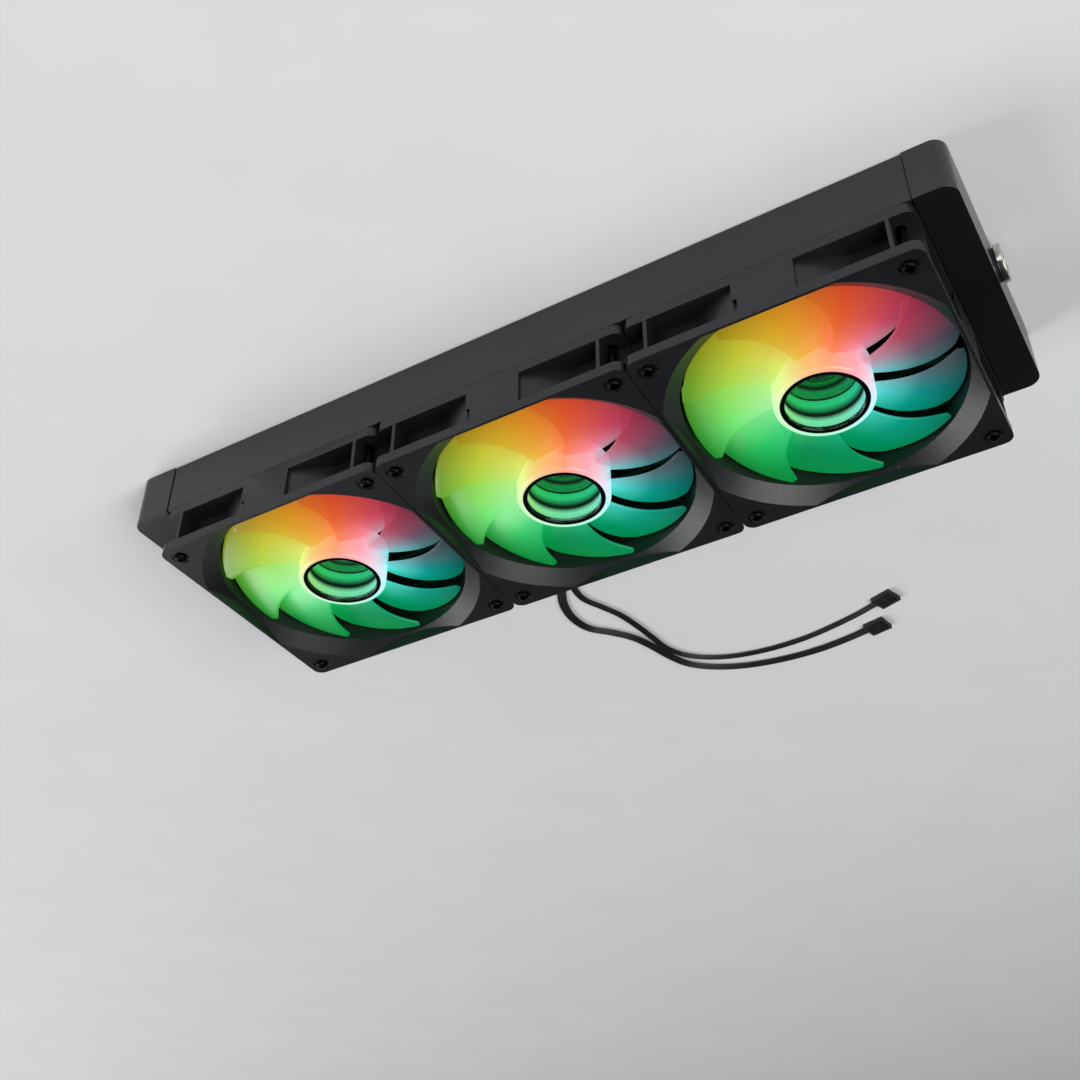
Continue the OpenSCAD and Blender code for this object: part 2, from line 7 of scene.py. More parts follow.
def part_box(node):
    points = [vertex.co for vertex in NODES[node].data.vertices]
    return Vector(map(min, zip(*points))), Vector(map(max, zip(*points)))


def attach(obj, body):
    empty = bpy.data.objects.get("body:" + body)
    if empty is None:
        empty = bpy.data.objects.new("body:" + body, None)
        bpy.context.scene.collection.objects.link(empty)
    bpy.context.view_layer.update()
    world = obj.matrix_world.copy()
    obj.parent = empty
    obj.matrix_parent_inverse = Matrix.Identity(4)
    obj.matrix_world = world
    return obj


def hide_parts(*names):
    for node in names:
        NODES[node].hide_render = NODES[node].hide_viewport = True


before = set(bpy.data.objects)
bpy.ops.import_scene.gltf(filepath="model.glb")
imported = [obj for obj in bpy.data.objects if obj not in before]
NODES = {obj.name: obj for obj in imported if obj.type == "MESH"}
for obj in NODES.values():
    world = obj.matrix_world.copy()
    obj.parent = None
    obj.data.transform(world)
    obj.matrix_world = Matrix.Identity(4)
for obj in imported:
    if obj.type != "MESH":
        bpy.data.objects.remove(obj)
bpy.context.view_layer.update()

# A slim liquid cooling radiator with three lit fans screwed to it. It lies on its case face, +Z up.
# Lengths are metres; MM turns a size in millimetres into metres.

MM = 0.001
FANS = (1, 2, 3)


# ---- Camera ----

def make_camera():
    """Looks down on the fans past the third one, turned over so that the case face is uppermost."""
    data = bpy.data.cameras.new("camera")
    data.lens = 46.6
    data.sensor_width = 36.0
    data.clip_start = 0.01
    data.clip_end = 50.0
    camera = bpy.data.objects.new("camera", data)
    bpy.context.scene.collection.objects.link(camera)
    back = Vector((-0.406, -0.682, 0.608)).normalized()
    right = Vector((-0.307, -0.525, -0.794)).cross(back).normalized()
    turned = Matrix((right, back.cross(right), back)).transposed()
    camera.rotation_mode = "QUATERNION"
    camera.rotation_quaternion = turned.to_quaternion()
    camera.location = Vector((-231.9, -410.0, 434.6)) * MM
    bpy.context.scene.camera = camera


make_camera()


# ---- Sizes taken from the frame ----

def low(name):
    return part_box(name)[0]


def high(name):
    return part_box(name)[1]


FAN_X = {n: (low(f"fan_{n}_bezel").x + high(f"fan_{n}_bezel").x) / 2 for n in FANS}
FAN_BACK = low("fan_2_frame").z
FAN_FACE = high("fan_2_frame").z
HUB_TOP = high("fan_2_bezel").z
BEZEL_R = high("fan_2_bezel").y
HUB_R = BEZEL_R + 2.4 * MM
WINDOW_R = high("fan_2_mirror_lens").y
WINDOW_LOW = low("fan_2_mirror_lens").z
TUNNEL_R = high("fan_2_light_ring").y
TUNNEL_LOW = low("fan_2_light_ring").z
MIRROR_LOW = low("fan_2_back_mirror").z
YOKE_R = high("fan_2_rotor_yoke").y
YOKE_TOP = MIRROR_LOW - 1.6 * MM
HUB_LOW = low("fan_2_rotor_yoke").z - 0.2 * MM
BLADE_R = max(math.hypot(v.co.x, v.co.y) for v in NODES["fan_2_impeller"].data.vertices)
SCREW_HALF = high("fan_screws").y - 2.9 * MM


# ---- Modelling helpers ----

def object_mode():
    if bpy.context.object and bpy.context.object.mode != "OBJECT":
        bpy.ops.object.mode_set(mode="OBJECT")


def pick(*pieces):
    """Selects these pieces alone; the first becomes the active one."""
    object_mode()
    bpy.ops.object.select_all(action="DESELECT")
    for piece in pieces:
        piece.select_set(True)
    bpy.context.view_layer.objects.active = pieces[0]


def added(name):
    """Names the object that an operator has just made."""
    piece = bpy.context.object
    piece.name = name
    piece.data.name = name
    return piece


def settle(piece):
    """Puts the piece's place into its mesh, so that its object sits at the origin."""
    pick(piece)
    bpy.ops.object.transform_apply(location=True, rotation=True, scale=True)
    return piece


def modify(piece, kind, **settings):
    """Adds a modifier with its settings and applies it."""
    pick(piece)
    bpy.ops.object.modifier_add(type=kind)
    modifier = piece.modifiers[-1]
    for name, value in settings.items():
        setattr(modifier, name, value)
    bpy.ops.object.modifier_apply(modifier=modifier.name)
    return piece


def smooth(piece, degrees=35):
    pick(piece)
    bpy.ops.object.shade_smooth_by_angle(angle=math.radians(degrees))
    return piece


def round_edges(piece, width, segments=2, degrees=30):
    modify(piece, "BEVEL", width=width, segments=segments, limit_method="ANGLE",
           angle_limit=math.radians(degrees))
    return smooth(piece)


def tidy_shell(piece):
    """Merges doubled points and turns every face outwards."""
    pick(piece)
    bpy.ops.object.mode_set(mode="EDIT")
    bpy.ops.mesh.select_all(action="SELECT")
    bpy.ops.mesh.remove_doubles(threshold=0.002 * MM)
    bpy.ops.mesh.normals_make_consistent(inside=False)
    object_mode()
    return piece


def join(name, pieces):
    pick(*pieces)
    bpy.ops.object.join()
    return added(name)


def copy_of(piece, name, move=(0, 0, 0), turn=0.0):
    """A copy with its own mesh, turned about Z and moved."""
    twin = bpy.data.objects.new(name, piece.data.copy())
    twin.data.name = name
    bpy.context.scene.collection.objects.link(twin)
    twin.rotation_euler.z = turn
    twin.location = move
    return settle(twin)


def discard(*pieces):
    for piece in pieces:
        bpy.data.objects.remove(piece)


def softened(node_name, name, width, segments=2, degrees=30, press=None):
    """A copy of a CAD node: triangles joined into whole faces, edges rounded, flats kept flat."""
    piece = bpy.data.objects.new(name, NODES[node_name].data.copy())
    piece.data.name = name
    piece.data.materials.clear()
    bpy.context.scene.collection.objects.link(piece)
    pick(piece)
    bpy.ops.object.mode_set(mode="EDIT")
    bpy.ops.mesh.select_all(action="SELECT")
    bpy.ops.mesh.remove_doubles(threshold=0.002 * MM)
    bpy.ops.mesh.dissolve_limited(angle_limit=math.radians(0.3))
    object_mode()
    if press:
        press_panel(piece, press)
    round_edges(piece, width, segments, degrees)
    return modify(piece, "WEIGHTED_NORMAL", keep_sharp=True, weight=80)


def lathe(name, profile, steps=96):
    """Spins a closed outline of (radius, height) points about Z into a ring."""
    bpy.ops.mesh.primitive_circle_add(vertices=len(profile), radius=MM, fill_type="NOTHING")
    piece = added(name)
    for vertex, (radius, height) in zip(piece.data.vertices, profile):
        vertex.co = (radius, 0, height)
    bpy.ops.object.mode_set(mode="EDIT")
    bpy.ops.mesh.select_all(action="SELECT")
    bpy.ops.mesh.spin(steps=steps, angle=math.tau, center=(0, 0, 0), axis=(0, 0, 1))
    object_mode()
    return tidy_shell(piece)


def disc(name, radius, low_z, high_z, edge, steps=128):
    """A round plate with a softened edge."""
    bpy.ops.mesh.primitive_cylinder_add(vertices=steps, radius=radius, depth=high_z - low_z,
                                        location=(0, 0, (low_z + high_z) / 2))
    return round_edges(settle(added(name)), edge, 2, 60)


def block(name, lowest, highest):
    """A box between two corners."""
    middle = (Vector(lowest) + Vector(highest)) / 2
    bpy.ops.mesh.primitive_cube_add(size=1, location=middle)
    piece = added(name)
    piece.scale = Vector(highest) - Vector(lowest)
    return settle(piece)


def cut(piece, tool):
    """Takes the tool's shape out of the piece, and throws the tool away."""
    modify(piece, "BOOLEAN", object=tool, operation="DIFFERENCE", solver="EXACT")
    discard(tool)
    return piece


def arc(x, y, r, start, end, steps=6):
    """Points of an arc in degrees about (x, y)."""
    turns = [math.radians(start + (end - start) * i / steps) for i in range(steps + 1)]
    return [(x + r * math.cos(t), y + r * math.sin(t)) for t in turns]


# ---- Material helpers ----

def hex_colour(code):
    """An sRGB hex value as linear red, green, blue and alpha."""
    parts = [int(code[i:i + 2], 16) / 255 for i in (1, 3, 5)]
    return tuple(c / 12.92 if c <= 0.04045 else ((c + 0.055) / 1.055) ** 2.4 for c in parts) + (1.0,)


def node(tree, kind, inputs=None, out=0, stops=None, **settings):
    """Adds a shader node with its settings and links, and gives back one of its outputs.

    An input is a number, a colour or another node's output. Stops are a ramp's (place, colour)."""
    made = tree.nodes.new("ShaderNode" + kind)
    for name, value in settings.items():
        setattr(made, name, value)
    for socket, value in (inputs or {}).items():
        if isinstance(value, bpy.types.NodeSocket):
            tree.links.new(value, made.inputs[socket])
        else:
            made.inputs[socket].default_value = value
    if stops:
        points = made.color_ramp.elements
        while len(points) < len(stops):
            points.new(0.5)
        for point, (place, colour) in zip(points, stops):
            point.position = place
            point.color = colour
    return made.outputs[out] if made.outputs else made


def start_material(name):
    """An empty material, its tree and the point being shaded."""
    material = bpy.data.materials.new(name)
    material.use_nodes = True
    material.node_tree.nodes.clear()
    return material, material.node_tree, node(material.node_tree, "TexCoord", out="Object")


def surface(tree, inputs):
    """Ends a material in one Principled shader."""
    node(tree, "OutputMaterial", {"Surface": node(tree, "BsdfPrincipled", inputs)})


def paint(piece, *materials):
    piece.data.materials.clear()
    for material in materials:
        piece.data.materials.append(material)


# ---- Finishes ----

def moulded_plastic(name, code, worn, grit, roughness):
    """Moulded plastic: the mould's fine spark-eroded grit breaks up the shine, and slow clouds in the
    surface make it a little paler in places."""
    material, tree, place = start_material(name)
    fine = node(tree, "TexNoise", {"Vector": place, "Scale": 1 / grit, "Detail": 3.0})
    broad = node(tree, "TexNoise", {"Vector": place, "Scale": 1 / (25 * MM), "Detail": 2.0})
    pale = node(tree, "MapRange", {"Value": broad, "From Min": 0.35, "From Max": 0.7})
    base = node(tree, "Mix", {0: pale, 6: hex_colour(code), 7: hex_colour(worn)}, out=2, data_type="RGBA")
    rough = node(tree, "MapRange", {"Value": fine, "From Min": 0.3, "From Max": 0.7,
                                    "To Min": roughness - 0.06, "To Max": roughness + 0.08})
    normal = node(tree, "Bump", {"Height": fine, "Distance": 0.04 * MM, "Strength": 0.35})
    surface(tree, {"Base Color": base, "Roughness": rough, "Normal": normal})
    return material


def stove_enamel(name, code, worn):
    """Sprayed and baked enamel on sheet metal: satin, with the slight waviness of orange peel."""
    material, tree, place = start_material(name)
    peel = node(tree, "TexNoise", {"Vector": place, "Scale": 1 / (1.8 * MM), "Detail": 2.0})
    cloud = node(tree, "TexNoise", {"Vector": place, "Scale": 1 / (40 * MM), "Detail": 3.0})
    pale = node(tree, "MapRange", {"Value": cloud, "From Min": 0.35, "From Max": 0.7})
    base = node(tree, "Mix", {0: pale, 6: hex_colour(code), 7: hex_colour(worn)}, out=2, data_type="RGBA")
    rough = node(tree, "MapRange", {"Value": peel, "From Min": 0.3, "From Max": 0.7,
                                    "To Min": 0.3, "To Max": 0.4})
    normal = node(tree, "Bump", {"Height": peel, "Distance": 0.08 * MM, "Strength": 0.3})
    surface(tree, {"Base Color": base, "Roughness": rough, "Normal": normal, "Coat Weight": 0.15,
                   "Coat Roughness": 0.2})
    return material


def thin_core_paint(name, code, bare, roughness, louvres):
    """Thin black paint over soldered brass and copper: matt and uneven, warm where it is thin. Louvres
    pressed in the fins show as fine level lines."""
    material, tree, place = start_material(name)
    patch = node(tree, "TexNoise", {"Vector": place, "Scale": 1 / (8 * MM), "Detail": 5.0})
    thin = node(tree, "MapRange", {"Value": patch, "From Min": 0.56, "From Max": 0.8, "To Max": 0.8})
    base = node(tree, "Mix", {0: thin, 6: hex_colour(code), 7: hex_colour(bare)}, out=2, data_type="RGBA")
    lines = node(tree, "TexWave", {"Vector": place, "Scale": 0.05 / louvres, "Distortion": 0.2},
                 out="Fac", bands_direction="Z")
    normal = node(tree, "Bump", {"Height": lines, "Distance": 0.15 * MM, "Strength": 0.6})
    surface(tree, {"Base Color": base, "Roughness": roughness, "Metallic": 0.3, "Normal": normal})
    return material


def turned_metal(name, code, dull, roughness, pitch):
    """Metal cut on a lathe about X: bright, with fine rings left by the tool and a little tarnish."""
    material, tree, place = start_material(name)
    rings = node(tree, "TexWave", {"Vector": place, "Scale": 0.05 / pitch, "Distortion": 0.8},
                 out="Fac", bands_direction="X")
    cloud = node(tree, "TexNoise", {"Vector": place, "Scale": 1 / (5 * MM), "Detail": 4.0})
    tarnish = node(tree, "MapRange", {"Value": cloud, "From Min": 0.45, "From Max": 0.75, "To Max": 0.6})
    base = node(tree, "Mix", {0: tarnish, 6: hex_colour(code), 7: hex_colour(dull)}, out=2, data_type="RGBA")
    rough = node(tree, "MapRange", {"Value": rings, "To Min": roughness - 0.05, "To Max": roughness + 0.1})
    normal = node(tree, "Bump", {"Height": rings, "Distance": 0.02 * MM, "Strength": 0.4})
    surface(tree, {"Base Color": base, "Metallic": 1.0, "Roughness": rough, "Normal": normal})
    return material


def smooth_metal(name, code, dull, roughness, cloud_size):
    """Drawn, plated or ground metal: an even sheen, clouded a little by oil and handling."""
    material, tree, place = start_material(name)
    cloud = node(tree, "TexNoise", {"Vector": place, "Scale": 1 / cloud_size, "Detail": 4.0})
    share = node(tree, "MapRange", {"Value": cloud, "From Min": 0.35, "From Max": 0.75, "To Max": 0.7})
    base = node(tree, "Mix", {0: share, 6: hex_colour(code), 7: hex_colour(dull)}, out=2, data_type="RGBA")
    rough = node(tree, "MapRange", {"Value": cloud, "From Min": 0.3, "From Max": 0.7,
                                    "To Min": roughness - 0.05, "To Max": roughness + 0.08})
    surface(tree, {"Base Color": base, "Metallic": 1.0, "Roughness": rough})
    return material


def laminated_steel(name):
    """A stack of punched core plates: dull steel with the edge of each 0.5 mm plate showing."""
    material, tree, place = start_material(name)
    plates = node(tree, "TexWave", {"Vector": place, "Scale": 0.05 / (0.5 * MM)}, out="Fac",
                  bands_direction="Z")
    base = node(tree, "ValToRGB", {"Fac": plates}, stops=[(0.0, hex_colour("#3c3f42")),
                                                          (0.35, hex_colour("#8a8e92"))])
    surface(tree, {"Base Color": base, "Metallic": 1.0, "Roughness": 0.42})
    return material


def wound_copper(name):
    """Enamelled wire laid side by side: copper red with a varnish shine, ridged at the wire's width, with
    painted shade darkening the grooves between turns.
    """
    material, tree, place = start_material(name)
    turns = node(tree, "TexWave", {"Vector": place, "Scale": 0.05 / (0.3 * MM), "Distortion": 1.0},
                 out="Fac", bands_direction="DIAGONAL")
    # The ramp darkens the colour where the ridges dip: painted shade in the grooves between turns.
    base = node(tree, "ValToRGB", {"Fac": turns}, stops=[(0.0, hex_colour("#5a2a10")),
                                                         (0.5, hex_colour("#c06a30"))])
    normal = node(tree, "Bump", {"Height": turns, "Distance": 0.1 * MM, "Strength": 0.6})
    surface(tree, {"Base Color": base, "Metallic": 0.9, "Roughness": 0.3, "Coat Weight": 0.5,
                   "Normal": normal})
    return material


def solder_mask(name):
    """Green lacquer over a copper-clad board: the tracks stand a little proud and lighter."""
    material, tree, place = start_material(name)
    cells = node(tree, "TexVoronoi", {"Vector": place, "Scale": 1 / (3 * MM)}, feature="DISTANCE_TO_EDGE")
    tracks = node(tree, "ValToRGB", {"Fac": cells}, stops=[(0.05, hex_colour("#1d7a49")),
                                                           (0.1, hex_colour("#0e4a2c"))])
    normal = node(tree, "Bump", {"Height": tracks, "Distance": 0.04 * MM, "Strength": 0.5})
    surface(tree, {"Base Color": tracks, "Roughness": 0.3, "Normal": normal})
    return material


def wire_insulation(name, code, worn):
    """Soft PVC over stranded wire: satin, with a slow unevenness from the extruder."""
    material, tree, place = start_material(name)
    drag = node(tree, "TexNoise", {"Vector": place, "Scale": 1 / (1.5 * MM), "Detail": 2.0})
    share = node(tree, "MapRange", {"Value": drag, "From Min": 0.3, "From Max": 0.8})
    base = node(tree, "Mix", {0: share, 6: hex_colour(code), 7: hex_colour(worn)}, out=2, data_type="RGBA")
    normal = node(tree, "Bump", {"Height": drag, "Distance": 0.05 * MM, "Strength": 0.3})
    surface(tree, {"Base Color": base, "Roughness": 0.4, "Normal": normal})
    return material


# Light by direction round a fan: from +X, turning towards +Y, in twelve equal steps.
GLOW_OF_HUB = ("#c8fcc0", "#b0f8c4", "#a4f8cc", "#acf8da", "#a8f6f0", "#b8f4fa",
               "#e0dcee", "#fa9cac", "#f68a58", "#f0b458", "#e4ec84", "#ccf8a4")
GLOW_AT_HUB = ("#a4f4a8", "#4fdc86", "#20bc78", "#22b88a", "#44d6c6", "#66e0e0",
               "#b4b4c8", "#f48498", "#f6804c", "#eaae40", "#d8e468", "#bcf484")
GLOW_HALF_WAY = ("#72e874", "#24c866", "#008c50", "#009460", "#009c84", "#128c8c",
                 "#7a5a70", "#cc4460", "#e4602c", "#dc9c24", "#c8c634", "#9cd84c")
GLOW_AT_TIPS = ("#2c8a24", "#01842a", "#008c3e", "#008a4c", "#008056", "#085a54",
                "#34404a", "#98304a", "#d04424", "#b87818", "#8c840c", "#5a9018")
GLOW_IN_TUNNEL = ("#98f08c", "#84f0a0", "#78eeb0", "#7ceeb8", "#84eed0", "#84e8e0",
                  "#88e0dc", "#8ce4b0", "#98e898", "#a4ec88", "#a8ee84", "#a0f088")


def wheel(codes):
    """Ramp stops spread evenly round a full turn and closed on themselves."""
    stops = [(i / len(codes), hex_colour(code)) for i, code in enumerate(codes)]
    return stops + [(1.0, hex_colour(codes[0]))]


def about_fan(tree, place, centre_x):
    """Where a point lies about a fan: its direction as a share of a turn, its radius and its height."""
    local = node(tree, "Mapping", {"Vector": place, "Location": (-centre_x, 0, 0)})
    x = node(tree, "SeparateXYZ", {0: local}, out="X")
    y = node(tree, "SeparateXYZ", {0: local}, out="Y")
    z = node(tree, "SeparateXYZ", {0: local}, out="Z")
    angle = node(tree, "Math", {0: y, 1: x}, operation="ARCTAN2")
    turns = node(tree, "Math", {0: angle, 1: math.tau}, operation="DIVIDE")
    share = node(tree, "Math", {0: turns}, operation="FRACT")
    flat = node(tree, "CombineXYZ", {"X": x, "Y": y})
    radius = node(tree, "VectorMath", {0: flat}, out="Value", operation="LENGTH")
    return share, radius, z


def lit_blade_acrylic(name, centre_x):
    """Milky acrylic fed with light from the hub: pale at the root, full half way out and deep at the
    tips, glossy, and clear enough on the cool side to let the radiator show through."""
    material, tree, place = start_material(name)
    share, radius, _ = about_fan(tree, place, centre_x)
    near = node(tree, "ValToRGB", {"Fac": share}, stops=wheel(GLOW_AT_HUB))
    half = node(tree, "ValToRGB", {"Fac": share}, stops=wheel(GLOW_HALF_WAY))
    tips = node(tree, "ValToRGB", {"Fac": share}, stops=wheel(GLOW_AT_TIPS))
    first = node(tree, "MapRange", {"Value": radius, "From Min": HUB_R + MM, "From Max": 39 * MM})
    second = node(tree, "MapRange", {"Value": radius, "From Min": 39 * MM, "From Max": BLADE_R})
    inner = node(tree, "Mix", {0: first, 6: near, 7: half}, out=2, data_type="RGBA")
    light = node(tree, "Mix", {0: second, 6: inner, 7: tips}, out=2, data_type="RGBA")
    solid = node(tree, "ValToRGB", {"Fac": share}, stops=[
        (0.0, hex_colour("#fbfbfb")), (0.36, hex_colour("#f6f6f6")), (0.47, hex_colour("#c4c4c4")),
        (0.57, hex_colour("#cccccc")), (0.66, hex_colour("#fbfbfb"))])
    # The base colour is the glow itself darkened by grey: painted light in the acrylic's own colour.
    body = node(tree, "Mix", {0: 1.0, 6: light, 7: hex_colour("#585858")}, out=2, data_type="RGBA",
                blend_type="MULTIPLY")
    flow = node(tree, "TexNoise", {"Vector": place, "Scale": 1 / (9 * MM), "Detail": 2.0})
    normal = node(tree, "Bump", {"Height": flow, "Distance": 0.1 * MM, "Strength": 0.15})
    surface(tree, {"Base Color": body, "Emission Color": light, "Emission Strength": 0.9, "Roughness": 0.3,
                   "Alpha": solid, "Normal": normal})
    return material


def lit_hub_acrylic(name, centre_x):
    """The same acrylic where it is thickest and nearest the light: almost white, tinted by direction."""
    material, tree, place = start_material(name)
    share, _, height = about_fan(tree, place, centre_x)
    foot = node(tree, "ValToRGB", {"Fac": share}, stops=wheel(GLOW_AT_HUB))
    crown = node(tree, "ValToRGB", {"Fac": share}, stops=wheel(GLOW_OF_HUB))
    rise = node(tree, "MapRange", {"Value": height, "From Min": HUB_LOW + 5 * MM, "From Max": HUB_TOP - MM})
    light = node(tree, "Mix", {0: rise, 6: foot, 7: crown}, out=2, data_type="RGBA")
    flow = node(tree, "TexNoise", {"Vector": place, "Scale": 1 / (5 * MM), "Detail": 2.0})
    normal = node(tree, "Bump", {"Height": flow, "Distance": 0.05 * MM, "Strength": 0.15})
    surface(tree, {"Base Color": hex_colour("#6f7472"), "Emission Color": light, "Emission Strength": 0.92,
                   "Roughness": 0.25, "Normal": normal})
    return material


def lit_tunnel_wall(name, centre_x):
    """Frosted wall between the two mirrors: lit by direction, and dark along both glued edges, so that
    the mirrors repeat it as separate rings."""
    material, tree, place = start_material(name)
    share, _, height = about_fan(tree, place, centre_x)
    hue = node(tree, "ValToRGB", {"Fac": share}, stops=wheel(GLOW_IN_TUNNEL))
    rise = node(tree, "MapRange", {"Value": height, "From Min": TUNNEL_LOW, "From Max": WINDOW_LOW})
    band = node(tree, "ValToRGB", {"Fac": rise}, stops=[
        (0.0, hex_colour("#000000")), (0.07, hex_colour("#101010")), (0.2, hex_colour("#a0a0a0")),
        (0.5, hex_colour("#ffffff")), (0.92, hex_colour("#f0f0f0")), (0.97, hex_colour("#181818"))])
    light = node(tree, "Mix", {0: 1.0, 6: hue, 7: band}, out=2, data_type="RGBA", blend_type="MULTIPLY")
    surface(tree, {"Base Color": hex_colour("#1c2a22"), "Emission Color": light, "Emission Strength": 2.0,
                   "Roughness": 0.85, "Specular IOR Level": 0.15})
    return material


def mirror_coating(name, code, share):
    """A vacuum-metallised mirror film. Half-silvered, it passes light as well as mirroring it."""
    material, tree, place = start_material(name)
    haze = node(tree, "TexNoise", {"Vector": place, "Scale": 1 / (9 * MM), "Detail": 2.0})
    rough = node(tree, "MapRange", {"Value": haze, "To Min": 0.005, "To Max": 0.03})
    surface(tree, {"Base Color": hex_colour(code), "Metallic": 1.0, "Roughness": rough, "Alpha": share})
    return material


def window_face(name):
    """The window's polished front: clear, with a faint gloss of its own."""
    material, tree, place = start_material(name)
    haze = node(tree, "TexNoise", {"Vector": place, "Scale": 1 / (9 * MM), "Detail": 2.0})
    rough = node(tree, "MapRange", {"Value": haze, "To Min": 0.02, "To Max": 0.06})
    surface(tree, {"Base Color": hex_colour("#0a0f0c"), "Roughness": rough, "Alpha": 0.12})
    return material


def led_silicone(name):
    """Silicone domes over the lamps, lit from inside: white, warmer in fine patches."""
    material, tree, place = start_material(name)
    cells = node(tree, "TexNoise", {"Vector": place, "Scale": 1 / (0.8 * MM), "Detail": 2.0})
    light = node(tree, "ValToRGB", {"Fac": cells}, stops=[(0.35, hex_colour("#fff2c8")),
                                                          (0.6, hex_colour("#ffffff"))])
    surface(tree, {"Base Color": hex_colour("#f2ecd8"), "Emission Color": light, "Emission Strength": 1.0,
                   "Roughness": 0.35})
    return material


FRAME_NYLON = moulded_plastic("glass_filled_nylon", "#131416", "#191a1c", 0.6 * MM, 0.36)
GLOSS_BLACK = moulded_plastic("polished_black_acrylic", "#030303", "#050505", 3 * MM, 0.14)
CONNECTOR_NYLON = moulded_plastic("connector_nylon", "#101012", "#17171a", 0.8 * MM, 0.5)
SEAL_RUBBER = moulded_plastic("moulded_seal_rubber", "#0c0c0d", "#141415", 0.7 * MM, 0.62)
FERRITE = moulded_plastic("bonded_ferrite", "#242426", "#303032", 0.8 * MM, 0.6)
ENAMEL = stove_enamel("stove_enamelled_sheet", "#0d0e10", "#131416")
FIN_PAINT = thin_core_paint("painted_copper_fin", "#1a1b1c", "#40291b", 0.5, 1.1 * MM)
TUBE_PAINT = thin_core_paint("painted_brass_tube", "#141516", "#3c3322", 0.42, 6 * MM)
PORT_BRASS = turned_metal("turned_brass", "#c9a058", "#8a6a36", 0.24, 0.4 * MM)
PLUG_NICKEL = turned_metal("nickel_plated_brass", "#cfccc4", "#9d9a92", 0.2, 0.5 * MM)
ZINC = smooth_metal("zinc_plated_steel", "#aab0b5", "#7f868c", 0.36, 3 * MM)
BLACK_OXIDE = smooth_metal("black_oxide_steel", "#1b1c1e", "#101112", 0.34, 2 * MM)
YOKE_STEEL = smooth_metal("deep_drawn_steel", "#8f9398", "#6a6d71", 0.34, 4 * MM)
SHAFT_STEEL = smooth_metal("ground_steel", "#c9ccd0", "#a4a8ac", 0.15, 2 * MM)
BRONZE = smooth_metal("sintered_bronze", "#93683a", "#5f4426", 0.5, 0.6 * MM)
CONTACT_TIN = smooth_metal("tinned_contact", "#c6c7c2", "#96978f", 0.3, 1 * MM)
LAMINATIONS = laminated_steel("core_laminations")
COPPER = wound_copper("enamelled_copper_wire")
BOARD = solder_mask("green_solder_mask")
PVC = wire_insulation("pvc_insulation", "#0b0b0c", "#161617")
LED = led_silicone("led_silicone")
BACK_MIRROR = mirror_coating("green_coated_mirror", "#5ad8ae", 1.0)
HALF_MIRROR = mirror_coating("half_silvered_film", "#b4f2cc", 0.5)
WINDOW_FACE = window_face("clear_acrylic_window")


# ---- Leads of the middle fan: flat, limp, lying behind the radiator ----

FAN_LEAD = [(31, 61, 29.7), (31, 66, 29.4), (34, 75, 27), (42, 86, 20), (52, 97, 11), (62, 108, 4),
            (70, 120, 1), (76, 133, 1), (78, 147, 1), (75, 160, 1), (66, 170, 1), (58, 181, 1), (53, 194, 1),
            (49, 208, 1), (43, 221, 1), (32, 231, 1), (18, 238, 1), (3, 242, 1), (-13, 244, 1),
            (-29, 244, 1), (-44, 242, 1), (-58, 239, 1)]
LIGHT_LEAD = [(25, 61, 29.7), (25, 66, 29.4), (28, 75, 27), (36, 86, 20), (46, 97, 11), (56, 108, 4),
              (63, 120, 1), (64, 133, 1), (59, 145, 1), (54, 157, 1), (51, 171, 1), (49, 185, 1),
              (47, 199, 1), (41, 211, 1), (31, 220, 1), (18, 226, 1), (4, 229, 1), (-11, 230, 1),
              (-27, 229, 1), (-42, 226, 1), (-57, 222, 1), (-71, 217, 1)]


def smooth_path(route, steps=6):
    """Points along one smooth curve through the route."""
    points = [Vector(p) * MM for p in route]
    ends = [points[0] * 2 - points[1]] + points + [points[-1] * 2 - points[-2]]
    path = []
    for a, b, c, d in zip(ends, ends[1:], ends[2:], ends[3:]):
        for i in range(steps):
            t = i / steps
            path.append(0.5 * (2 * b + (c - a) * t + (2 * a - 5 * b + 4 * c - d) * t * t
                               + (3 * b - a - 3 * c + d) * t * t * t))
    return path + [points[-1]]


def flat_lead(name, route, width, wires):
    """A ribbon of wires side by side, swept along the route with its flat side level."""
    path = smooth_path(route)
    radius = width * MM / wires / 2
    top = []
    for i in range(wires):
        top += arc(-width * MM / 2 + radius * (2 * i + 1), 0, radius, 160, 20, 4)
    section = top + [(x, -y) for x, y in reversed(top)]
    bpy.ops.mesh.primitive_circle_add(vertices=len(section), radius=MM, fill_type="NGON")
    piece = added(name)
    for vertex, (across, up) in zip(piece.data.vertices, section):
        vertex.co = (across, up, 0)
    bpy.ops.object.mode_set(mode="EDIT")
    bpy.ops.mesh.select_all(action="SELECT")
    for _ in path[1:]:
        bpy.ops.mesh.extrude_region_move()
    object_mode()
    count = len(section)
    for i, place in enumerate(path):
        ahead = (path[min(i + 1, len(path) - 1)] - path[max(i - 1, 0)]).normalized()
        side = Vector((-ahead.y, ahead.x, 0)).normalized()
        lift = ahead.cross(side)
        for k, (across, up) in enumerate(section):
            piece.data.vertices[i * count + k].co = place + side * across + lift * up
    return smooth(tidy_shell(piece), 40)


